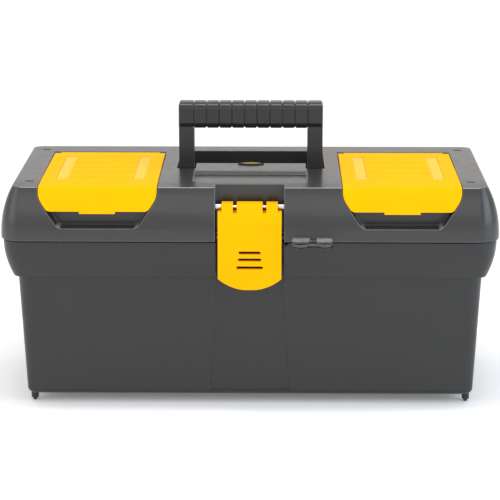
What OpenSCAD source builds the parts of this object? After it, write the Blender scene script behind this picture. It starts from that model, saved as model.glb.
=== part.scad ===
// Toolbox with a lift-out tray, two lid organizers, a fold-down handle and a front latch.
// X runs along the box, the front faces -Y, Z is up, and the feet stand on Z = 0.

/* [Box] */
// Length across the rim
box_l = 406; // [396:2:416]
// Depth across the rim
box_d = 190; // [186:1:194]
// Height of the lid's flat top
top_z = 187; // [186:0.5:188]
// Height of the parting line between tub and lid
part_z = 142.7; // [141.5:0.1:143.5]
// Thickness of the moulded walls
wall = 2.5; // [2.3:0.1:2.7]
// Corner radius of the rim, seen from above
rim_r = 18; // [16:1:20]
// Width of the dark gap at the parting line
part_gap = 0.9; // [0.6:0.1:1.2]

/* [Tub] */
// How far the rim band stands inside the lid's rim
band_inset = 1.7; // [1.4:0.1:2.0]
// Height of the band's lower edge
band_z = 111; // [109:1:113]
// How far the band curves in at its lower edge
band_curve = 8; // [7:0.5:9]
// Step from the band's lower edge to the wall below
band_step = 2.7; // [2.2:0.1:3.2]
// How far the wall tapers in towards the floor
taper = 5.5; // [4.5:0.5:6.5]
// Height of the underside above the table
base_z = 8.2; // [7.5:0.1:9]
// Radius of the edge round the underside
base_r = 5; // [4:0.5:6]
// Distance of the feet from the middle, along the box
foot_x = 180.2; // [178:0.1:180.4]
// Middle of the feet in depth
foot_mid_y = 2; // [0:0.5:2]
// Half the distance between front and rear feet
foot_half_y = 67; // [62:1:67]

/* [Lid] */
// Height where the lid's sides start to curve in
dome_z = 147; // [146.5:0.5:150]
// How far the sides have curved in at the flat top
dome_in = 10.5; // [10:0.5:11.5]
// Angle the lid opens to
lid_open = 105; // [90:5:105]
// Half width of the latch pocket
pocket_hw = 28; // [27.6:0.1:28.4]
// Distance of the latch pocket's back wall from the middle
pocket_y = 73.5; // [72:0.5:75]

/* [Organizer] */
// Nearest edge of a cover to the middle of the box
cover_x0 = 75.3; // [74:0.1:76]
// Width of a cover
cover_w = 96; // [94:1:97]
// Rear edge of a cover
cover_y1 = 58.3; // [56:0.1:59]
// Height of the flap's lower edge
flap_z = 167.4; // [166:0.1:168]
// Height of the finger scoop's lower lip
scoop_z = 153.8; // [153:0.1:155]
// Height of the bin's underside
bin_z = 145.5; // [145:0.1:147]

/* [Handle] */
// Half width of the grip
grip_hw = 60.3; // [60:0.1:60.5]
// Height of the grip's top when it stands up
grip_z1 = 242.7; // [241:0.1:243.5]
// Height of the grip, top to underside
grip_h = 22; // [20:0.5:22]
// Width of each leg
leg_w = 12.8; // [12:0.1:13]
// Distance of the handle pivot in front of the middle
pivot_y = 3; // [2.5:0.5:3]
// Height of the handle pivot
pivot_z = 177; // [176.5:0.1:177.5]

/* [Latch] */
// Half width of the latch
latch_hw = 25.8; // [25:0.1:26]
// Height of the latch pin
latch_pin_z = 170; // [169.5:0.1:170.5]
// Lowest point of the latch
latch_z0 = 102.7; // [101:0.1:104]

/* [Tray] */
// Half length of the tray's bowl
tray_hx = 182; // [176:1:183]
// Half depth of the tray's bowl
tray_hy = 72; // [66:1:73]
// Height of the tray's underside
tray_z0 = 90; // [86:1:96]
// Height of the tray's rim
tray_z1 = 134; // [132:1:135]

/* [Hidden] */
$fn = 96;

eps = 0.1;
charcoal = [0.17, 0.17, 0.18];
yellow = [1.0, 0.78, 0.06];
steel = [0.75, 0.75, 0.77];

hx = box_l / 2;
hy = box_d / 2;
lid_z0 = part_z + part_gap / 2;
tub_z1 = part_z - part_gap / 2;

// Radius of the arc that curves the lid's sides in, and its inset at any height
dome_h = top_z - dome_z;
dome_r = (dome_h * dome_h + dome_in * dome_in) / (2 * dome_in);
function dome_inset(z) = z < dome_z ? 0 : dome_r - sqrt(dome_r * dome_r - (z - dome_z) * (z - dome_z));

// The top falls a little towards its front edge: distances from the middle and drops
crown_y0 = 58;
crown_y1 = 70;
crown_drop1 = 0.25;
crown_drop = 1;
crown_y = hy - dome_inset(top_z - crown_drop);
crown_slope = (dome_inset(top_z) - dome_inset(top_z - 2)) / 2;
lid_edge_r = 1.4;
cover_edge_r = 3;

// Rim band of the tub, and the arc that curves it in
band_hx = hx - band_inset;
band_hy = hy - band_inset;
band_r = rim_r - band_inset;
band_h = tub_z1 - band_z;
band_arc = (band_h * band_h + band_curve * band_curve) / (2 * band_curve);

// Tub wall below the band
body_hx = band_hx - band_curve - band_step;
body_hy = band_hy - band_curve - band_step;
body_r = 12;
floor_t = 3;
body_wall = 3;
base_steps = 5;

// Foot nubs
foot_r = 3.1;
foot_tip_r = 1.7;
foot_tip_h = 2;

// Lip on the tub that stands inside the lid
lip_h = 2.6;
lip_in = 4.4;
lip_t = 2;

// Rear hinge
hinge_y = hy + 7.5;
hinge_z = part_z + 0.3;
hinge_r = 5.5;
hinge_x = 120;
knuckle_w = 20;
knuckle_side = 10;
knuckle_gap = 0.35;
pin_r = 2;
bore_clear = 0.05;

// Latch
latch_pin_y = -84;
latch_pin_r = 1.25;
latch_hub_r = 5.5;
latch_knuckle_x = 22.7;
latch_collar_r = 2.2;
latch_face_y = -95;
latch_t = 4.2;
latch_top = 3.5;
channel_hw = 27.4;
channel_y = 83.5;
panel_depth = 1.5;
panel_hw = 33;
panel_z = 12.5;
pocket_floor_z = 146;

// Hook of the latch and the catch on the tub. hook_run is how far the slope runs in for each mm of height
hook_hw = 11;
hook_z1 = 119.7;
hook_tip_y = -85.4;
hook_drop = 4.4;
hook_run = 0.58;
catch_hw = 14;
catch_y = -86.5;
catch_z1 = 127.5;
catch_gap = 0.5;
slit_h = 2.5;

// Padlock eye: distance in front of the rim, ring sizes and the two plates' heights
eye_y = -(hy + 8.5);
eye_big = [41.5, 4.65, 7.6];
eye_small = [60.3, 3.55, 6.8];
eye_lid_z0 = 142.4;
eye_lid_z1 = 144.2;
eye_tub_z0 = 140.2;
eye_tub_z1 = 142.05;
eye_gusset_z = 146.4;

// Organizer
cover_x1 = cover_x0 + cover_w;
cover_mid = (cover_x0 + cover_x1) / 2;
cover_t = 2.4;
cover_gap = 0.6;
ledge_z = top_z - cover_t - 0.4;
bin_x0 = cover_x0 + 3.7;
bin_x1 = cover_x1 - 3.7;
bin_y0 = -77;
bin_y1 = 48.5;
bin_floor = bin_z + wall;
scoop_y = -79.5;
scoop_in = 16;
scoop_knee_z = 178;
knee_r = 16;
scoop_slope = (scoop_in + cover_gap) / (scoop_knee_z - scoop_z);
thumb_hw = 14.5;
thumb_h = 1.8;
pad_in = 11.5;
pad_w = 9.5;
pad_y0 = -57;
pad_y1 = 37.5;
pad_sink = 0.8;
valley_y = -51.3;
valley_pitch = 20.5;
valley_r = 22;
valley_h = 0.7;
dish_z = 174.5;
dish_r = 90;
dish_h = 0.8;
dish_tilt = asin((dish_z - dome_z) / dome_r);
hinge_gap = 1.0;
rod_r = 1.2;
rod_c = 3;
rod_y = cover_y1 - rod_c;
rod_z = top_z - rod_c;
ear_w = 5.2;
notch_w = ear_w - cover_gap + 0.4;
divider_t = 1.6;

// Badge on the strip in front of the handle trough
badge_y = 5;
badge_hx = 11;
badge_hy = 4.3;
badge_sink = 0.6;
badge_rise = 1.4;

// Handle trough
trough_hx = 62;
trough_y0 = 10;
trough_y1 = 64.5;
trough_z = 165;
slot_x = 46.5;
slot_y = -12.2;
grip_y0 = -13;
grip_d = 20;
leg_r = 8;
groove_pitch = 10.6;
groove_h = 3.2;
handle_pin_r = 2.2;

// Tray
tray_t = 2;
tray_r = 9;
tray_ledge_z = tray_z1 - 2.6;
tray_grip_z = 157;

// ---- shared shapes ----

// A round-cornered solid of half size sx by sy. The child is the half section of its side,
// drawn from the middle out to $w, so that corners and sides match.
module around(sx, sy, r) {
    for (i = [0, 1]) {
        for (j = [0, 1]) {
            mirror([i, 0, 0]) mirror([0, j, 0]) translate([sx - r, sy - r, 0])
                rotate_extrude(angle = 90) let ($w = r) children();
        }
    }
    rotate([90, 0, 0])
        linear_extrude(2 * (sy - r), center = true)
            both_ways() let ($w = sx) children();
    rotate([90, 0, 90])
        linear_extrude(2 * (sx - r), center = true)
            both_ways() let ($w = sy) children();
}

module both_ways() {
    children();
    mirror([1, 0]) children();
}

// Section of the lid: upright to z = dome_z, then an arc inwards. in moves it inside by that much
module dome_section(z0, z1, in) {
    r = dome_r - in;
    x = max($w - r, 0);
    translate([0, z0]) square([$w, dome_z - z0]);
    if (x > 0) translate([0, dome_z]) square([x, z1 - dome_z]);
    intersection() {
        translate([$w - r, dome_z]) circle(r, $fn = 180);
        translate([x, dome_z]) square([$w - x + 1, z1 - dome_z]);
    }
}

// Section of the rim band: upright at the top, then an arc inwards going down
module band_section(z0, z1, in) {
    r = band_arc - in;
    x = max($w - r, 0);
    if (x > 0) translate([0, z0]) square([x, tub_z1 - z0]);
    if (z1 > tub_z1) translate([0, tub_z1]) square([$w, z1 - tub_z1]);
    intersection() {
        translate([$w - r, tub_z1]) circle(r, $fn = 180);
        translate([x, z0]) square([$w - x + 1, tub_z1 - z0]);
    }
}

// Section of the tapered wall, with a lower edge rounded in short steps
module wall_section(z0, z1, r) {
    w0 = $w - taper * (z1 - z0) / (band_z - base_z);
    arc = [for (k = [0:1:base_steps]) let (a = 90 * k / base_steps)
           [w0 - r + r * sin(a) + taper * r * (1 - cos(a)) / (band_z - base_z), z0 + r * (1 - cos(a))]];
    polygon(concat([[0, z0]], arc, [[$w, z1], [0, z1]]));
}

// An outline with corner i rounded to radius r[i] in short steps
function rounded(p, r, n = 6) = [
    for (i = [0:1:len(p) - 1])
        let (b = p[i], a = p[(i + len(p) - 1) % len(p)] - b, c = p[(i + 1) % len(p)] - b,
             u = a / norm(a), v = c / norm(c), half = acos(u * v) / 2, w = 180 - 2 * half,
             m = (u + v) / norm(u + v) * r[i] / sin(half),
             s = u * r[i] / tan(half) - m, e = v * r[i] / tan(half) - m)
            each r[i] == 0 ? [b] : [
                for (k = [0:1:n]) b + m + (s * sin(w - w * k / n) + e * sin(w * k / n)) / sin(w)]];

module box(p, q) {
    translate(p) cube([q[0] - p[0], q[1] - p[1], q[2] - p[2]]);
}

// Rounded upright slab between z0 and z1
module slab(sx, sy, r, z0, z1) {
    translate([0, 0, z0]) linear_extrude(z1 - z0) union() {
        square([2 * sx, 2 * (sy - r)], center = true);
        square([2 * (sx - r), 2 * sy], center = true);
        for (i = [-1, 1]) {
            for (j = [-1, 1]) {
                translate([i * (sx - r), j * (sy - r)]) circle(r);
            }
        }
    }
}

// Cylinder along X
module rod_x(x0, x1, y, z, r) {
    translate([x0, y, z]) rotate([0, 90, 0]) cylinder(h = x1 - x0, r = r, $fn = 48);
}

// Prism along X from a [y, z] outline
module prism_x(x0, x1, outline) {
    translate([x0, 0, 0]) rotate([90, 0, 90]) linear_extrude(x1 - x0) polygon(outline);
}

// Prism along Y from an [x, z] outline
module prism_y(y0, y1, outline) {
    translate([0, y1, 0]) rotate([90, 0, 0]) linear_extrude(y1 - y0) polygon(outline);
}

// All that lies under the gently falling top, with its front edge rounded to radius r
module crowned(r) {
    rise = crown_drop1 * (crown_y0 - 40) / (crown_y1 - crown_y0);
    intersection() {
        children();
        prism_x(-hx - 1, hx + 1, rounded([
            [-40, top_z + 2], [-40, top_z + rise], [-crown_y1, top_z - crown_drop1],
            [-crown_y, top_z - crown_drop], [-crown_y - 20 * crown_slope, top_z - crown_drop - 20],
            [-hy - 40, top_z - 30], [-hy - 40, 100], [hy + 40, 100], [hy + 40, top_z + 2]],
            [0, 0, 0, r, 0, 0, 0, 0, 0], 8));
    }
}

module at_both_ends() {
    children();
    mirror([1, 0, 0]) children();
}

// ---- tub ----

module hinge_bracket(x0, x1, side) {
    // side = 1 rises to the lid, side = -1 goes down to the tub
    difference() {
        union() {
            rod_x(x0, x1, hinge_y, hinge_z, hinge_r);
            if (side > 0) {
                box([x0, hy - 1.5, hinge_z + 0.6], [x1, hinge_y, hinge_z + hinge_r]);
            } else {
                box([x0, band_hy - 1.5, hinge_z - hinge_r], [x1, hinge_y, hinge_z - 1.4]);
            }
        }
        rod_x(x0 - 1, x1 + 1, hinge_y, hinge_z, pin_r + bore_clear);
    }
}

module tub_knuckles() {
    for (s = [-1, 1]) {
        a = s * hinge_x - knuckle_w / 2;
        b = s * hinge_x + knuckle_w / 2;
        hinge_bracket(a - knuckle_side, a - knuckle_gap, -1);
        hinge_bracket(b + knuckle_gap, b + knuckle_side, -1);
    }
}

module eye_plate(z0, z1, y_in) {
    for (e = [eye_big, eye_small]) {
        translate([e[0], eye_y, z0]) cylinder(h = z1 - z0, r = e[2]);
        box([e[0] - e[2], eye_y, z0], [e[0] + e[2], y_in, z1]);
    }
    box([eye_big[0], eye_y - 3.4, z0], [eye_small[0], y_in, z1]);
}

module eye_holes() {
    for (e = [eye_big, eye_small]) {
        translate([e[0], eye_y, eye_tub_z0 - 1])
            cylinder(h = eye_lid_z1 - eye_tub_z0 + 8, r = e[1], $fn = 64);
    }
}

module feet() {
    for (i = [-1, 1]) {
        for (j = [-1, 1]) {
            translate([i * foot_x, foot_mid_y + j * foot_half_y, 0]) {
                cylinder(h = base_z, r = foot_tip_r, $fn = 48);
                translate([0, 0, foot_tip_h]) cylinder(h = base_z + 2.6 - foot_tip_h, r = foot_r, $fn = 48);
            }
        }
    }
}

module tub_outside() {
    around(body_hx, body_hy, body_r) wall_section(base_z, band_z, base_r);
    around(band_hx, band_hy, band_r) band_section(band_z, tub_z1, 0);
}

module tub_shell() {
    difference() {
        union() {
            tub_outside();
            slab(hx - lip_in, hy - lip_in, rim_r - lip_in, tub_z1 - 4, tub_z1 + lip_h);
        }
        around(body_hx - body_wall, body_hy - body_wall, body_r - body_wall)
            wall_section(base_z + floor_t, band_z + wall, base_r - 2);
        difference() {
            around(band_hx - wall, band_hy - wall, band_r - wall)
                band_section(band_z + wall, tub_z1 + 10, wall);
            difference() {
                slab(hx - lip_in, hy - lip_in, rim_r - lip_in, tub_z1 - 4, tub_z1 + lip_h);
                slab(hx - lip_in - lip_t, hy - lip_in - lip_t, rim_r - lip_in - lip_t,
                     tub_z1 - 5, tub_z1 + lip_h + 1);
            }
        }
    }
}

// Centre channel: through the band, then a shallow panel that widens towards the floor
module tub_channel() {
    box([-channel_hw, -hy - 1, band_z - 2], [channel_hw, -channel_y, tub_z1 + 1]);
    box([-pocket_hw - 6, -hy - 1, tub_z1], [pocket_hw + 6, -channel_y + 4, tub_z1 + lip_h + 1]);
    intersection() {
        prism_y(-hy, -60, [[-channel_hw, band_z], [-panel_hw, panel_z],
                           [panel_hw, panel_z], [channel_hw, band_z]]);
        difference() {
            box([-panel_hw - 1, -hy, panel_z], [panel_hw + 1, -60, band_z]);
            translate([0, panel_depth, 0]) prism_x(-41, 41, [[-body_hy, band_z], [-body_hy + taper, base_z],
                                                     [-50, base_z], [-50, band_z]]);
        }
    }
}

// Wall behind the channel and the ledge that the latch hooks under
module latch_catch() {
    box([-channel_hw - wall, -channel_y - 1, band_z - 1], [channel_hw + wall, -channel_y + wall, tub_z1]);
    for (i = [-1, 1]) {
        box([i * (channel_hw + wall / 2) - wall / 2, -band_hy + 2, band_z + 8],
            [i * (channel_hw + wall / 2) + wall / 2, -channel_y + wall, tub_z1]);
    }
    nose_z = hook_z1 - hook_drop + catch_gap / hook_run + (hook_tip_y - catch_y) / hook_run;
    root_z = nose_z - (-channel_y - catch_y) / hook_run;
    prism_x(-catch_hw, catch_hw, [[-channel_y + 1, catch_z1], [catch_y + 0.8, catch_z1],
                                  [catch_y, catch_z1 - 1.5], [catch_y, nose_z],
                                  [-channel_y, root_z], [-channel_y + 1, root_z]]);
}

module tray_ledges() {
    at_both_ends() for (y = [-48, 48]) {
        difference() {
            box([body_hx - 4, y - 9, band_z - 14], [band_hx - wall, y + 9, tray_ledge_z - 0.3]);
            prism_y(y - 10, y + 10, [[body_hx - 5, band_z - 15], [body_hx - 5, band_z + 6],
                                     [body_hx - body_wall + 0.4, band_z - 15]]);
        }
    }
}

module tub() {
    color(charcoal) difference() {
        union() {
            difference() {
                tub_shell();
                tub_channel();
            }
            intersection() {
                latch_catch();
                around(band_hx, band_hy, band_r) band_section(band_z, tub_z1, 0);
            }
            intersection() {
                tray_ledges();
                tub_outside();
            }
            tub_knuckles();
            eye_plate(eye_tub_z0, eye_tub_z1, -band_hy + 2);
            feet();
        }
        eye_holes();
    }
}

module hinge_pin(s) {
    a = s * hinge_x - knuckle_w / 2 - knuckle_side - 0.5;
    b = s * hinge_x + knuckle_w / 2 + knuckle_side + 0.5;
    color(steel) {
        rod_x(a, b, hinge_y, hinge_z, pin_r);
        rod_x(s > 0 ? b - 0.4 : a - 1, s > 0 ? b + 1 : a + 0.4, hinge_y, hinge_z, pin_r + 1.2);
    }
}

// ---- lid ----

module lid_shape(z0) {
    around(hx, hy, rim_r) dome_section(z0, top_z, 0);
}

module lid_skin() {
    difference() {
        lid_shape(lid_z0);
        around(hx - wall, hy - wall, rim_r - wall) dome_section(lid_z0 - 1, top_z - wall, wall);
    }
}

// Outline of the window under a flap, grown by g, for the right-hand organizer
function scoop_outline(g) = rounded([
    [cover_x0 - cover_gap - g, top_z + 1],
    [cover_x0 - cover_gap - g, scoop_knee_z - g / 3],
    [cover_x0 + scoop_in - g * 0.8, scoop_z - g],
    [cover_x1 - scoop_in + g * 0.8, scoop_z - g],
    [cover_x1 + cover_gap + g, scoop_knee_z - g / 3],
    [cover_x1 + cover_gap + g, top_z + 1]], [0, knee_r + g, 7 + g, 7 + g, knee_r + g, 0]);

module organizer_walls() {
    box([bin_x0 - wall, bin_y0 - wall, bin_z], [bin_x1 + wall, bin_y1 + wall, ledge_z]);
    box([cover_x0 - cover_gap - wall, scoop_y, ledge_z - wall],
        [cover_x1 + cover_gap + wall, cover_y1 + hinge_gap + wall, top_z - 1]);
    box([cover_x0 - cover_gap - wall, bin_y1, rod_z - rod_c - wall - 0.4],
        [cover_x1 + cover_gap + wall, cover_y1 + hinge_gap + wall, top_z - 1]);
    prism_y(-hy + 0.5, scoop_y + wall, scoop_outline(wall));
}

module organizer_cuts() {
    box([cover_x0 - cover_gap, scoop_y - 1, ledge_z], [cover_x1 + cover_gap, bin_y1 + wall, top_z + 1]);
    box([bin_x0, bin_y0, bin_floor], [bin_x1, bin_y1, top_z + 1]);
    prism_y(-hy - 1, scoop_y, scoop_outline(0));
    box([cover_x0 - cover_gap, bin_y1 + wall - eps, rod_z - rod_c - 0.4],
        [cover_x1 + cover_gap, cover_y1 + hinge_gap, top_z + 1]);
}

// Ears that hold the cover's rod at both ends, and grooves for the dividers
module organizer_ears() {
    for (x = [cover_x0 - cover_gap, cover_x1 + cover_gap - ear_w]) {
        rod_x(x, x + ear_w, rod_y, rod_z, rod_c);
        box([x, bin_y1 + wall, rod_z - rod_c - 0.6], [x + ear_w, cover_y1 + hinge_gap + 0.5, rod_z]);
    }
    for (y = [-35, 7]) {
        for (k = [-1, 1]) {
            box([bin_x0 - 0.5, y + k * 1.9 - 0.8, bin_floor - 0.5],
                [bin_x0 + 1.6, y + k * 1.9 + 0.8, ledge_z - 3]);
            box([bin_x1 - 1.6, y + k * 1.9 - 0.8, bin_floor - 0.5],
                [bin_x1 + 0.5, y + k * 1.9 + 0.8, ledge_z - 3]);
        }
    }
}

module trough_walls() {
    box([-trough_hx - wall, trough_y0 - wall, trough_z - wall],
        [trough_hx + wall, trough_y1 + wall, top_z - 1]);
    at_both_ends() {
        box([slot_x - 6, slot_y - wall, trough_z - wall], [trough_hx + 5, trough_y0, top_z - 1]);
    }
    prism_x(-slot_x - wall, slot_x + wall, [
        [-69, top_z - 1], [-66, top_z - groove_h - 1.2], [-40, top_z - groove_h - 2.2],
        [-24, top_z - groove_h - 1.6], [-17, top_z - 1]]);
}

module trough_cuts() {
    box([-trough_hx, trough_y0, trough_z], [trough_hx, trough_y1, top_z + 1]);
    at_both_ends() {
        box([slot_x, slot_y, trough_z], [trough_hx, trough_y0 + eps, top_z + 1]);
    }
    prism_x(-slot_x, slot_x, rounded([
        [-64.6, top_z + 1], [-63.4, top_z - groove_h], [-24, top_z - groove_h], [-20.5, top_z + 1]],
        [0, 1, 2, 0]));
    rod_x(-trough_hx - 4, -slot_x + 5, -pivot_y, pivot_z, handle_pin_r + bore_clear);
    rod_x(slot_x - 5, trough_hx + 4, -pivot_y, pivot_z, handle_pin_r + bore_clear);
}

module latch_pocket_walls() {
    box([-pocket_hw - 3, -hy, lid_z0], [pocket_hw + 3, -pocket_y + wall, top_z - 1]);
}

module latch_pocket_cuts() {
    box([-pocket_hw, -hy - 1, pocket_floor_z], [pocket_hw, -pocket_y, top_z + 1]);
    box([-pocket_hw, -hy - 1, lid_z0 - 1], [pocket_hw, -channel_y - 2.5, pocket_floor_z + 1]);
    rod_x(-pocket_hw - 2, pocket_hw + 2, latch_pin_y, latch_pin_z, latch_pin_r + bore_clear);
}

module eye_gusset() {
    for (e = [eye_big, eye_small]) {
        prism_x(e[0] - e[2] + 0.6, e[0] + e[2] - 0.6,
                [[-hy + 1.5, lid_z0], [-hy - 3.4, lid_z0], [-hy - 3.4, eye_lid_z1],
                 [-hy - 1.4, eye_gusset_z], [-hy + 1.5, eye_gusset_z]]);
    }
    difference() {
        eye_plate(eye_lid_z0, eye_lid_z1, -hy + 1.5);
        box([eye_big[0] - 20, -hy, eye_lid_z0 - 1], [eye_small[0] + 20, -hy + 3, lid_z0]);
    }
}

module stack_dimples() {
    for (i = [-1, 1]) {
        for (j = [-1, 1]) {
            translate([i * foot_x, foot_mid_y + j * foot_half_y, top_z - 1.5])
                slab(3.6, 2.4, 2.3, 0, 3);
        }
    }
}

module lid() {
    color(charcoal) difference() {
        union() {
            difference() {
                crowned(lid_edge_r) union() {
                    lid_skin();
                    intersection() {
                        lid_shape(lid_z0);
                        union() {
                            at_both_ends() organizer_walls();
                            trough_walls();
                            latch_pocket_walls();
                        }
                    }
                }
                at_both_ends() organizer_cuts();
                trough_cuts();
                latch_pocket_cuts();
                stack_dimples();
            }
            at_both_ends() organizer_ears();
            for (s = [-1, 1]) {
                hinge_bracket(s * hinge_x - knuckle_w / 2, s * hinge_x + knuckle_w / 2, 1);
            }
            eye_gusset();
        }
        eye_holes();
        at_both_ends() rod_x(cover_x0 - cover_gap - 1.6, cover_x1 + cover_gap + 1.6,
                             rod_y, rod_z, rod_r + bore_clear);
        badge_seat();
    }
}

// Pointed oval of half length a and half width b
module oval(a, b) {
    r = (a * a + b * b) / (2 * b);
    intersection() {
        translate([0, b - r]) circle(r);
        translate([0, r - b]) circle(r);
    }
}

module badge_seat() {
    translate([0, badge_y, top_z - badge_sink]) linear_extrude(3) oval(badge_hx, badge_hy);
}

module lid_badge() {
    color(yellow) translate([0, badge_y, top_z - badge_sink])
        linear_extrude(badge_sink + badge_rise) oval(badge_hx - 0.1, badge_hy - 0.1);
}

module latch_pin() {
    color(steel) {
        rod_x(-pocket_hw - 1.9, pocket_hw + 1.9, latch_pin_y, latch_pin_z, latch_pin_r);
        // spacers beside the latch
        at_both_ends()
            rod_x(latch_knuckle_x + 0.4, pocket_hw - 0.1, latch_pin_y, latch_pin_z, latch_collar_r);
    }
}

module handle_pin(s) {
    a = s > 0 ? slot_x - 4.5 : -trough_hx - 3.5;
    color(steel) rod_x(a, a + trough_hx + 3.5 - slot_x + 4.5, -pivot_y, pivot_z, handle_pin_r);
}

module organizer_divider(s, y) {
    x = s * (bin_x0 + bin_x1) / 2;
    h = (bin_x1 - bin_x0) / 2 - 0.4;
    color(charcoal) {
        box([x - h, y - divider_t / 2, bin_floor], [x + h, y + divider_t / 2, ledge_z - 5]);
        box([x - h + 2, y - 0.4 - divider_t / 2, ledge_z - 8],
            [x + h - 2, y + 0.4 + divider_t / 2, ledge_z - 5]);
    }
}

// ---- handle ----

module handle() {
    color(charcoal) difference() {
        union() {
            at_both_ends() {
                translate([grip_hw - leg_w, 0, 0]) {
                    rod_x(0, leg_w, -pivot_y, pivot_z, leg_r);
                    box([0, -pivot_y - leg_r, pivot_z], [leg_w, -pivot_y + leg_r, grip_z1 - 6]);
                }
            }
            intersection() {
                rotate([90, 0, 90]) linear_extrude(2 * grip_hw, center = true)
                    translate([grip_y0 + grip_d / 2, grip_z1 - grip_h / 2]) grip_section(0);
                translate([0, 20, 0]) rotate([90, 0, 0]) linear_extrude(60) grip_outline();
            }
        }
        for (k = [-4.5:1:4.5]) {
            translate([k * groove_pitch, 0, 0]) difference() {
                box([-0.6, grip_y0 - 1, grip_z1 - grip_h - 0.3], [0.6, grip_y0 + grip_d + 1, grip_z1 + 2]);
                rotate([90, 0, 90]) linear_extrude(4, center = true)
                    translate([grip_y0 + grip_d / 2, grip_z1 - grip_h / 2]) grip_section(1);
            }
        }
        rod_x(-100, 100, -pivot_y, pivot_z, handle_pin_r + bore_clear);
    }
}

module grip_section(in) {
    a = grip_d / 2 - in;
    b = grip_h / 2 - in;
    r = 6 - in;
    square([2 * a, 2 * (b - r)], center = true);
    square([2 * (a - r), 2 * b], center = true);
    for (i = [-1, 1]) {
        for (j = [-1, 1]) {
            translate([i * (a - r), j * (b - r)]) circle(r, $fn = 48);
        }
    }
}

module grip_outline() {
    r = 2.5;
    translate([-grip_hw, grip_z1 - grip_h]) square([2 * grip_hw, grip_h - r]);
    translate([-grip_hw + r, grip_z1 - grip_h]) square([2 * (grip_hw - r), grip_h]);
    for (i = [-1, 1]) {
        translate([i * (grip_hw - r), grip_z1 - r]) circle(r, $fn = 48);
    }
}

// ---- latch ----

module latch_outline() {
    shoulder_z = latch_pin_z - latch_collar_r - 0.4;
    sweep_r = 39.5;
    intersection() {
        union() {
            translate([-latch_hw, 90]) square([2 * latch_hw, shoulder_z - 90]);
            translate([-latch_knuckle_x, 150])
                square([2 * latch_knuckle_x, latch_pin_z + latch_top - 150]);
        }
        union() {
            translate([0, latch_z0 + sweep_r]) circle(sweep_r, $fn = 180);
            translate([-latch_hw, 130]) square([2 * latch_hw, 60]);
        }
    }
}

// Nose that hooks under the tub's catch: it slopes so that a hard pull on the lid frees it
module latch_hook() {
    root_y = latch_face_y + latch_t;
    prism_x(-hook_hw, hook_hw, [[root_y - 1, hook_z1 - 8], [root_y, hook_z1 - 8],
                                [hook_tip_y, hook_z1 - hook_drop],
                                [hook_tip_y - hook_drop * hook_run, hook_z1], [root_y - 1, hook_z1]]);
}

// Round-ended slit through the latch
module latch_slit(half, z) {
    r = slit_h / 2;
    translate([0, latch_face_y - 5, z]) rotate([-90, 0, 0]) linear_extrude(latch_t + 10) union() {
        square([2 * (half - r), slit_h], center = true);
        for (i = [-1, 1]) {
            translate([i * (half - r), 0]) circle(r, $fn = 48);
        }
    }
}

// Plate of the latch: upright, then leaning back in a long curve to the pin
module latch_plate() {
    back_y = latch_face_y + latch_t;
    top = latch_pin_z + latch_top;
    prism_x(-latch_hw, latch_hw, rounded([
        [latch_face_y, latch_z0], [latch_face_y, 160.5], [-91.3, top], [latch_pin_y, top],
        [latch_pin_y, latch_pin_z - 5], [back_y, 157], [back_y, latch_z0]],
        [1.2, 40, 1.6, 0, 0, 0, 0.8]));
}

module latch() {
    color(yellow) difference() {
        union() {
            intersection() {
                rotate([90, 0, 0]) linear_extrude(200, center = true) latch_outline();
                union() {
                    latch_plate();
                    rod_x(-latch_hw, latch_hw, latch_pin_y, latch_pin_z, latch_hub_r);
                }
            }
            latch_hook();
        }
        for (i = [-12, 12]) {
            box([i - 1.6, -100, latch_pin_z - 3.8], [i + 1.6, -60, latch_pin_z + 10]);
        }
        latch_slit(10.9, 121.6);
        latch_slit(9.5, 128.2);
        latch_slit(9, 134);
        rod_x(-40, 40, latch_pin_y, latch_pin_z, latch_pin_r + bore_clear);
    }
}

// ---- organizer covers ----

// Outline of a cover seen from the front: upright sides, lower corners that follow the scoop
module cover_outline() {
    cut = (scoop_knee_z - flap_z) * scoop_slope;
    r = knee_r - cover_gap;
    polygon(rounded([[cover_x0, top_z + 1], [cover_x0, scoop_knee_z], [cover_x0 + cut, flap_z],
                     [cover_x1 - cut, flap_z], [cover_x1, scoop_knee_z], [cover_x1, top_z + 1]],
                    [0, r, 5, 5, r, 0]));
    translate([cover_mid - thumb_hw, flap_z - thumb_h]) square([2 * thumb_hw, 10]);
}

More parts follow.
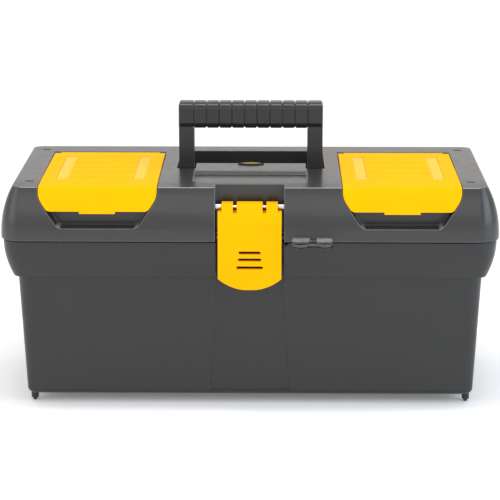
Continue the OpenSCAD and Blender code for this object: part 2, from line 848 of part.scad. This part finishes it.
module cover_solid() {
    difference() {
        union() {
            // plate and flap follow the lid's own curve
            crowned(cover_edge_r) intersection() {
                rotate([90, 0, 0]) linear_extrude(220, center = true) cover_outline();
                difference() {
                    rotate([90, 0, 90]) linear_extrude(300) both_ways()
                        let ($w = hy) dome_section(150, top_z, 0);
                    rotate([90, 0, 90]) translate([0, 0, -1]) linear_extrude(302) both_ways()
                        let ($w = hy - 2.2) dome_section(140, top_z - cover_t, 2.2);
                    box([0, rod_y, 100], [300, 200, 300]);
                }
            }
            rod_x(cover_x0, cover_x1, rod_y, rod_z, rod_c);
            // thumb tab
            rod_x(cover_mid - thumb_hw, cover_mid + thumb_hw, -hy + dome_inset(flap_z) + 1.1,
                  flap_z - 0.5, 1.3);
        }
        // room for the lid's ears
        for (x = [cover_x0 - 1, cover_x1 - notch_w]) {
            box([x, rod_y - rod_c - 0.5, rod_z - rod_c - 1], [x + notch_w + 1, cover_y1 + 1, top_z + 1]);
        }
        // a sunk pad near each end and rounded valleys between them
        for (x = [cover_x0 + pad_in, cover_x1 - pad_in - pad_w]) {
            box([x, pad_y0, top_z - pad_sink], [x + pad_w, pad_y1, top_z + 1]);
        }
        for (k = [0:1:4]) {
            rod_x(cover_x0 + pad_in + pad_w + 2, cover_x1 - pad_in - pad_w - 2,
                  valley_y + k * valley_pitch, top_z - valley_h + valley_r, valley_r);
        }
        // shallow dish for the thumb, square to the curved flap
        translate([cover_mid, -hy + dome_inset(dish_z) - (dish_r - dish_h) * cos(dish_tilt),
                   dish_z + (dish_r - dish_h) * sin(dish_tilt)]) sphere(dish_r, $fn = 120);
        rod_x(cover_x0 - 1, cover_x1 + 1, rod_y, rod_z, rod_r + bore_clear);
    }
}

module organizer_cover_left() {
    color(yellow) mirror([1, 0, 0]) cover_solid();
}

module organizer_cover_right() {
    color(yellow) cover_solid();
}

module cover_rod(s) {
    color(steel) mirror([s < 0 ? 1 : 0, 0, 0])
        rod_x(cover_x0 - cover_gap - 1.5, cover_x1 + cover_gap + 1.5, rod_y, rod_z, rod_r);
}

// ---- tray ----

module tray() {
    color(charcoal) union() {
        difference() {
            union() {
                slab(tray_hx, tray_hy, tray_r, tray_z0, tray_z1);
                slab(tray_hx + 8, tray_hy + 2, tray_r, tray_ledge_z, tray_z1);
            }
            difference() {
                slab(tray_hx - tray_t, tray_hy - tray_t, tray_r - tray_t, tray_z0 + tray_t, tray_z1 + 1);
                // long middle wall
                box([-tray_hx, -tray_t / 2, tray_z0], [tray_hx, tray_t / 2, tray_z1 - 4]);
                // cross wall in the rear half
                box([-tray_t / 2, 0, tray_z0], [tray_t / 2, tray_hy, tray_z1 - 6]);
                // guides for the dividers
                for (x = [-90, 90]) {
                    for (k = [-1, 1]) {
                        for (y = [-tray_hy + tray_t, -tray_t / 2 - 2]) {
                            box([x + k * 2.1 - 0.9, y - 0.1, tray_z0],
                                [x + k * 2.1 + 0.9, y + 2.1, tray_z1 - 8]);
                        }
                    }
                }
            }
        }
        tray_grip();
    }
}

// Bow handle that stands on the middle wall
module tray_grip() {
    difference() {
        prism_y(-4, 4, [[-62, tray_z0 + 1], [-62, tray_z1 - 6], [-50, tray_grip_z], [50, tray_grip_z],
                        [62, tray_z1 - 6], [62, tray_z0 + 1]]);
        prism_y(-10, 10, [[-50, tray_z1 - 3], [-41, tray_grip_z - 7],
                          [41, tray_grip_z - 7], [50, tray_z1 - 3]]);
        for (k = [-1, 1]) {
            box([-70, k * 6 - 4, tray_z0], [70, k * 6 + 4, tray_z1 - 3]);
        }
    }
}

module tray_divider(s) {
    x = s * 90;
    color(yellow) box([x - divider_t / 2, -tray_hy + tray_t + 0.3, tray_z0 + tray_t],
                      [x + divider_t / 2, -tray_t / 2 - 0.3, tray_z1 - 6]);
}

tub();
hinge_pin(-1);  // hinge_pin_left
hinge_pin(1);  // hinge_pin_right
lid();
lid_badge();
latch_pin();
handle_pin(-1);  // handle_pin_left
handle_pin(1);  // handle_pin_right
organizer_divider(-1, -35);  // organizer_divider_left_front
organizer_divider(-1, 7);  // organizer_divider_left_rear
organizer_divider(1, -35);  // organizer_divider_right_front
organizer_divider(1, 7);  // organizer_divider_right_rear
handle();
latch();
organizer_cover_left();
organizer_cover_right();
cover_rod(-1);  // cover_rod_left
cover_rod(1);  // cover_rod_right
tray();
tray_divider(-1);  // tray_divider_left
tray_divider(1);  // tray_divider_right
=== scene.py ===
"""Toolbox with a lift-out tray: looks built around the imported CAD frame. Metres, Z up, front faces -Y."""
import math

import bmesh
import bpy
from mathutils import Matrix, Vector


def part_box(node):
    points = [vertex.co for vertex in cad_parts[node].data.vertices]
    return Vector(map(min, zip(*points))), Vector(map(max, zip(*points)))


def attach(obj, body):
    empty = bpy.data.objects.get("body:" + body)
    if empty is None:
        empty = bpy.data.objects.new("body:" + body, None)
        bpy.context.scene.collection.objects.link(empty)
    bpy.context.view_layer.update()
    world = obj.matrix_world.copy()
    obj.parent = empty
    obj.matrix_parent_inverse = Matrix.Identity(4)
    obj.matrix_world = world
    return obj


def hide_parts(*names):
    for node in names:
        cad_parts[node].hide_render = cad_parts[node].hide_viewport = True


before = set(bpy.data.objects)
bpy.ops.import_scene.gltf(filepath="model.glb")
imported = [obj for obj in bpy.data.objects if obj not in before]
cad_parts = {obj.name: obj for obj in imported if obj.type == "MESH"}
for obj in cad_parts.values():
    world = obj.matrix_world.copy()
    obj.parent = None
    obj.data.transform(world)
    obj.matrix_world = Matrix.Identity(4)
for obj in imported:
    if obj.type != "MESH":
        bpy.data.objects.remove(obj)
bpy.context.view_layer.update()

MM = 0.001
SHARP_EDGE = math.radians(30)


# ---- camera, light and floor ----

def make_camera():
    """A long lens a little above the box and almost square to its front."""
    azimuth, elevation = math.radians(0.70), math.radians(13.84)
    data = bpy.data.cameras.new("camera")
    data.sensor_width = 36.0
    data.lens = 149.7
    data.clip_end = 20.0
    camera = bpy.data.objects.new("camera", data)
    camera.location = (0.0203, -1.7274, 0.5388)
    camera.rotation_euler = (math.pi / 2 - elevation, 0.0, azimuth)
    bpy.context.scene.collection.objects.link(camera)
    bpy.context.scene.camera = camera


def soft_light(name, location, target, size, power, colour=(1.0, 1.0, 1.0)):
    """A rectangular softbox that looks at a target."""
    data = bpy.data.lights.new(name, "AREA")
    data.shape = "RECTANGLE"
    data.size, data.size_y = size
    data.energy = power
    data.color = colour
    lamp = bpy.data.objects.new(name, data)
    lamp.location = location
    lamp.rotation_euler = (Vector(target) - Vector(location)).to_track_quat("-Z", "Y").to_euler()
    bpy.context.scene.collection.objects.link(lamp)


def make_studio():
    """An even white world, with softboxes in front, above, at both sides and behind."""
    world = bpy.data.worlds.new("studio")
    bpy.context.scene.world = world
    world.use_nodes = True
    back = world.node_tree.nodes["Background"]
    back.inputs["Color"].default_value = (1.0, 1.0, 1.0, 1.0)
    back.inputs["Strength"].default_value = 0.72
    soft_light("key", (-0.2, -1.5, 0.85), (0.0, 0.0, 0.12), (1.6, 0.7), 3.4)
    soft_light("overhead", (0.0, -0.12, 1.15), (0.0, -0.09, 0.15), (0.9, 0.14), 5.2)
    soft_light("backdrop", (0.0, 2.6, 0.75), (0.0, 0.0, 0.2), (5.0, 1.4), 5.0, (1.0, 0.88, 0.76))
    soft_light("cool_left", (-1.3, -0.7, 0.6), (-0.15, 0.0, 0.12), (1.0, 0.9), 4.0, (0.9, 0.95, 1.0))
    soft_light("cool_right", (1.3, -0.7, 0.6), (0.15, 0.0, 0.12), (1.0, 0.9), 8.5, (0.72, 0.86, 1.0))
    soft_light("rear_floor", (0.0, 1.8, 2.2), (0.0, 1.81, 0.0), (5.0, 2.4), 7.0)
    bpy.context.scene.view_settings.view_transform = "Standard"


def make_floor():
    """A plain pale floor that gives off a little light of its own, so that it stays white far away."""
    mesh = bpy.data.meshes.new("floor")
    half = 6.0
    corners = [(-half, -half, 0), (half, -half, 0), (half, half, 0), (-half, half, 0)]
    mesh.from_pydata(corners, [], [(0, 1, 2, 3)])
    floor = bpy.data.objects.new("floor", mesh)
    bpy.context.scene.collection.objects.link(floor)
    mat = bpy.data.materials.new("pale_floor")
    mat.use_nodes = True
    bsdf = mat.node_tree.nodes["Principled BSDF"]
    bsdf.inputs["Base Color"].default_value = (0.96, 0.96, 0.96, 1.0)
    bsdf.inputs["Roughness"].default_value = 0.9
    bsdf.inputs["Specular IOR Level"].default_value = 0.1
    bsdf.inputs["Emission Color"].default_value = (1.0, 1.0, 1.0, 1.0)
    bsdf.inputs["Emission Strength"].default_value = 0.14
    mesh.materials.append(mat)


# ---- materials ----

def noise(nt, scale, detail, coord):
    """The value of a noise texture over the coordinates given."""
    node = nt.nodes.new("ShaderNodeTexNoise")
    node.inputs["Scale"].default_value = scale
    node.inputs["Detail"].default_value = detail
    nt.links.new(coord, node.inputs["Vector"])
    return node.outputs["Fac"]


def plastic(name, colour, roughness, specular=0.5, grain=0.05, mottle=0.05):
    """Moulded plastic: a spark-eroded grain, slow changes of tone and faint scuffs in the gloss."""
    mat = bpy.data.materials.new(name)
    mat.use_nodes = True
    nt = mat.node_tree
    bsdf = nt.nodes["Principled BSDF"]
    bsdf.inputs["Specular IOR Level"].default_value = specular
    coord = nt.nodes.new("ShaderNodeTexCoord").outputs["Object"]

    tone = noise(nt, 28.0, 5.0, coord)
    ramp = nt.nodes.new("ShaderNodeValToRGB")
    low, high = ramp.color_ramp.elements
    low.position, high.position = 0.3, 0.7
    low.color = (*[c * (1 - mottle) for c in colour], 1.0)
    high.color = (*[min(1.0, c * (1 + mottle)) for c in colour], 1.0)
    nt.links.new(tone, ramp.inputs["Fac"])
    nt.links.new(ramp.outputs["Color"], bsdf.inputs["Base Color"])

    scuff = noise(nt, 140.0, 6.0, coord)
    rough = nt.nodes.new("ShaderNodeMapRange")
    rough.inputs["From Min"].default_value = 0.3
    rough.inputs["From Max"].default_value = 0.7
    rough.inputs["To Min"].default_value = roughness - 0.03
    rough.inputs["To Max"].default_value = roughness + 0.04
    nt.links.new(scuff, rough.inputs["Value"])
    nt.links.new(rough.outputs["Result"], bsdf.inputs["Roughness"])

    bump = nt.nodes.new("ShaderNodeBump")
    bump.inputs["Strength"].default_value = grain
    bump.inputs["Distance"].default_value = 0.15 * MM
    nt.links.new(noise(nt, 1400.0, 2.0, coord), bump.inputs["Height"])
    nt.links.new(bump.outputs["Normal"], bsdf.inputs["Normal"])
    return mat


def polish(mat, weight, roughness):
    """A thin glossy skin over a plastic, which sharpens the light on its rounded edges."""
    bsdf = mat.node_tree.nodes["Principled BSDF"]
    bsdf.inputs["Coat Weight"].default_value = weight
    bsdf.inputs["Coat Roughness"].default_value = roughness


def pale_front_edge(mat, colour):
    """A paler band where the lid's front turns into its top. It stands in for the line of light there."""
    behind_front = -68
    nt = mat.node_tree
    bsdf = nt.nodes["Principled BSDF"]
    coord = nt.nodes.new("ShaderNodeTexCoord")
    slope = nt.nodes.new("ShaderNodeSeparateXYZ")
    place = nt.nodes.new("ShaderNodeSeparateXYZ")
    nt.links.new(coord.outputs["Normal"], slope.inputs["Vector"])
    nt.links.new(coord.outputs["Object"], place.inputs["Vector"])
    at_front = nt.nodes.new("ShaderNodeMath")
    at_front.operation = "LESS_THAN"
    at_front.inputs[1].default_value = behind_front * MM
    nt.links.new(place.outputs["Y"], at_front.inputs[0])
    on_edge = nt.nodes.new("ShaderNodeMath")
    on_edge.operation = "MULTIPLY"
    nt.links.new(at_front.outputs["Value"], on_edge.inputs[0])
    ridge = nt.nodes.new("ShaderNodeValToRGB")
    elements = ridge.color_ramp.elements
    elements[0].position, elements[0].color = 0.68, (0.0, 0.0, 0.0, 1.0)
    elements[1].position, elements[1].color = 0.76, (1.0, 1.0, 1.0, 1.0)
    for position, level in ((0.95, 1.0), (0.985, 0.0)):
        elements.new(position).color = (level, level, level, 1.0)
    nt.links.new(slope.outputs["Z"], ridge.inputs["Fac"])
    mix = nt.nodes.new("ShaderNodeMixRGB")
    nt.links.new(ridge.outputs["Color"], on_edge.inputs[1])
    nt.links.new(on_edge.outputs["Value"], mix.inputs["Fac"])
    nt.links.new(bsdf.inputs["Base Color"].links[0].from_socket, mix.inputs["Color1"])
    mix.inputs["Color2"].default_value = (*colour, 1.0)
    nt.links.new(mix.outputs["Color"], bsdf.inputs["Base Color"])


def metal(name, colour, roughness):
    """Bright steel with the same faint grain as the plastic."""
    mat = plastic(name, colour, roughness, 0.5, 0.02, 0.04)
    mat.node_tree.nodes["Principled BSDF"].inputs["Metallic"].default_value = 1.0
    return mat


# ---- CAD nodes that keep their shape ----

def dress(node, mat, edge_mat, width=0.5, segments=2):
    """Gives a CAD node its material, and softly rounded edges with a material of their own.
    Where that edge material is lighter than the main one, its colour is a painted highlight.
    A width of 0 leaves the edges as the CAD has them."""
    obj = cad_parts[node]
    obj.data.materials.clear()
    obj.data.materials.append(mat)
    obj.data.materials.append(edge_mat)
    weld = obj.modifiers.new("weld", "WELD")
    weld.merge_threshold = 0.002 * MM
    if width:
        bevel = obj.modifiers.new("soft_edges", "BEVEL")
        bevel.width = width * MM
        bevel.segments = segments
        bevel.limit_method = "ANGLE"
        bevel.angle_limit = SHARP_EDGE
        bevel.use_clamp_overlap = False
        bevel.loop_slide = False
        # The bevel faces take the edge material; where it is lighter, that colour is a painted highlight.
        bevel.material = 1
    else:
        split = obj.modifiers.new("crisp_edges", "EDGE_SPLIT")
        split.split_angle = SHARP_EDGE
    for polygon in obj.data.polygons:
        polygon.use_smooth = True
    normals = obj.modifiers.new("normals", "WEIGHTED_NORMAL")
    normals.keep_sharp = False


# ---- pieces made here ----

def add_piece(name, mesh_data, mat, body, smooth=True):
    """Makes a bmesh a piece that rides on a CAD body."""
    mesh = bpy.data.meshes.new(name)
    mesh_data.to_mesh(mesh)
    mesh_data.free()
    mesh.materials.append(mat)
    for polygon in mesh.polygons:
        polygon.use_smooth = smooth
    piece = bpy.data.objects.new(name, mesh)
    bpy.context.scene.collection.objects.link(piece)
    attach(piece, body)
    return piece


def knurled_plate(x0, x1, y0, y1, z0, z1, pitch):
    """A closed plate from z0 whose top is a field of small pyramids that reach z1."""
    bm = bmesh.new()
    nx = 2 * round((x1 - x0) / pitch)
    ny = 2 * round((y1 - y0) / pitch)
    valley = z0 + 0.4 * (z1 - z0)

    def grid_point(i, j):
        is_peak = i % 2 and j % 2
        return bm.verts.new((x0 + (x1 - x0) * i / nx, y0 + (y1 - y0) * j / ny, z1 if is_peak else valley))

    top = [[grid_point(i, j) for j in range(ny + 1)] for i in range(nx + 1)]
    for i in range(nx):
        for j in range(ny):
            quad = [top[i][j], top[i + 1][j], top[i + 1][j + 1], top[i][j + 1]]
            turn = (i + j) % 2
            bm.faces.new([quad[k] for k in ((0, 1, 2), (1, 2, 3))[turn]])
            bm.faces.new([quad[k] for k in ((0, 2, 3), (0, 1, 3))[turn]])
    rim = ([top[i][0] for i in range(nx)] + [top[nx][j] for j in range(ny)]
           + [top[i][ny] for i in range(nx, 0, -1)] + [top[0][j] for j in range(ny, 0, -1)])
    foot = [bm.verts.new((v.co.x, v.co.y, z0)) for v in rim]
    for k in range(len(rim)):
        after = (k + 1) % len(rim)
        bm.faces.new([rim[k], foot[k], foot[after], rim[after]])
    bm.faces.new(foot[::-1])
    bmesh.ops.recalc_face_normals(bm, faces=bm.faces)
    return bm


def make_cover_pads(side):
    """The two knurled pads in the top of an organizer cover. Their paler yellow is a painted sheen."""
    low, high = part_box("organizer_cover_" + side)
    inset, width, sink = 11.5 * MM, 9.5 * MM, 0.8 * MM
    rear, length, gap = 20.8 * MM, 94.5 * MM, 0.15 * MM
    y1 = high[1] - rear
    for end, x0 in (("low_x", low[0] + inset), ("high_x", high[0] - inset - width)):
        plate = knurled_plate(x0 + gap, x0 + width - gap, y1 - length + gap, y1 - gap,
                              high[2] - sink, high[2] - 0.1 * MM, 1.1 * MM)
        name = "cover_pad_%s_%s" % (side, end)
        add_piece(name, plate, PAD_YELLOW_PAINTED_SHEEN, "cover_%s_body" % side, smooth=False)


def pointed_oval(length, width, steps):
    """Points round a flat oval with pointed ends, of half length and half width given."""
    points = []
    for k in range(steps):
        turn = 2 * math.pi * k / steps
        x = math.cos(turn)
        points.append((length * x, width * math.copysign(1 - x * x, math.sin(turn))))
    return points


def oval_shell(centre, length, width, rings):
    """A closed form of stacked ovals: rings holds (scale, height) from the outside in."""
    bm = bmesh.new()
    steps = 48
    loops = []
    for scale, height in rings:
        loops.append([bm.verts.new((centre[0] + x * scale, centre[1] + y * scale, centre[2] + height))
                      for x, y in pointed_oval(length, width, steps)])
    for a, b in zip(loops, loops[1:]):
        for k in range(steps):
            after = (k + 1) % steps
            bm.faces.new([a[k], a[after], b[after], b[k]])
    bm.faces.new(loops[0][::-1])
    bm.faces.new(loops[-1])
    bmesh.ops.recalc_face_normals(bm, faces=bm.faces)
    return bm


def make_badge():
    """A dark oval frame with a domed amber inlay and no lettering."""
    low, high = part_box("lid_badge")
    centre = ((low[0] + high[0]) / 2, (low[1] + high[1]) / 2, low[2])
    length, width, tall = (high[0] - low[0]) / 2, (high[1] - low[1]) / 2, high[2] - low[2]
    frame_rings = [(1.0, 0.0), (1.0, 0.7 * tall), (0.97, 0.85 * tall), (0.92, 0.9 * tall),
                   (0.86, 0.82 * tall), (0.84, 0.6 * tall)]
    dome_rings = [(0.83, 0.55 * tall), (0.82, 0.75 * tall), (0.7, 0.88 * tall), (0.5, 0.95 * tall),
                  (0.25, 0.99 * tall), (0.05, tall)]
    rim_shape = oval_shell(centre, length, width, frame_rings)
    rim = add_piece("badge_frame", rim_shape, DARK, "lid_body")
    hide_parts("lid_badge")
    dome_shape = oval_shell(centre, length, width, dome_rings)
    dome = add_piece("badge_inlay", dome_shape, BADGE, "lid_body")
    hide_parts("lid_badge")


make_camera()
make_studio()
make_floor()

CHARCOAL = plastic("charcoal_plastic", (0.0145, 0.0145, 0.0147), 0.33)
# Glossier than the charcoal and lighter in colour; the lighter colour on the bevelled edges is a painted
# highlight.
CHARCOAL_EDGE_PAINTED_HIGHLIGHT = plastic("charcoal_glossy_edge_painted_highlight", (0.02, 0.02, 0.0205), 0.28, 0.6, 0.01)
# The same charcoal as the body but lighter in colour; the difference is painted light for the extra light
# that the lid's upturned faces catch.
LID = plastic("lid_charcoal_painted_light", (0.023, 0.023, 0.0235), 0.33)
polish(LID, 0.3, 0.12)
pale_front_edge(LID, (0.3, 0.3, 0.3))
# Glossier than the lid plastic and much lighter in colour; the lighter colour on the lid's bevelled edges
# is a painted highlight.
LID_EDGE_PAINTED_HIGHLIGHT = plastic("lid_glossy_edge_painted_highlight", (0.09, 0.09, 0.09), 0.24, 0.8, 0.01)
DARK = plastic("handle_plastic", (0.007, 0.007, 0.007), 0.36)
polish(DARK, 0.2, 0.15)
# Glossier than the handle plastic and lighter in colour; the lighter colour on the handle's bevelled edges
# is a painted highlight.
DARK_EDGE_PAINTED_HIGHLIGHT = plastic("handle_glossy_edge_painted_highlight", (0.022, 0.022, 0.022), 0.3, 0.6, 0.01)
YELLOW = plastic("yellow_plastic", (0.96, 0.46, 0.003), 0.36, 0.004, 0.02, 0.02)
# A paler yellow for the knurled pads; the paleness is painted sheen for light that their texture scatters.
PAD_YELLOW_PAINTED_SHEEN = plastic("knurled_pad_yellow_painted_sheen", (0.78, 0.55, 0.1), 0.6, 0.02, 0.02, 0.02)
STEEL = metal("steel", (0.72, 0.72, 0.74), 0.3)
BADGE = plastic("badge_plastic", (0.6, 0.33, 0.03), 0.3, 0.02, 0.01)

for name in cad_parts:
    if "organizer_cover" in name or name == "latch":
        dress(name, YELLOW, YELLOW, 0)
    elif "tray_divider" in name:
        dress(name, YELLOW, YELLOW)
    elif "pin" in name or "rod" in name:
        dress(name, STEEL, STEEL, 0.2)
    elif name == "lid_badge":
        dress(name, BADGE, BADGE, 0.2)
    elif name == "handle":
        dress(name, DARK, DARK_EDGE_PAINTED_HIGHLIGHT)
    elif name == "lid":
        dress(name, LID, LID_EDGE_PAINTED_HIGHLIGHT)
    else:
        dress(name, CHARCOAL, CHARCOAL_EDGE_PAINTED_HIGHLIGHT)

for side in ("left", "right"):
    make_cover_pads(side)
make_badge()
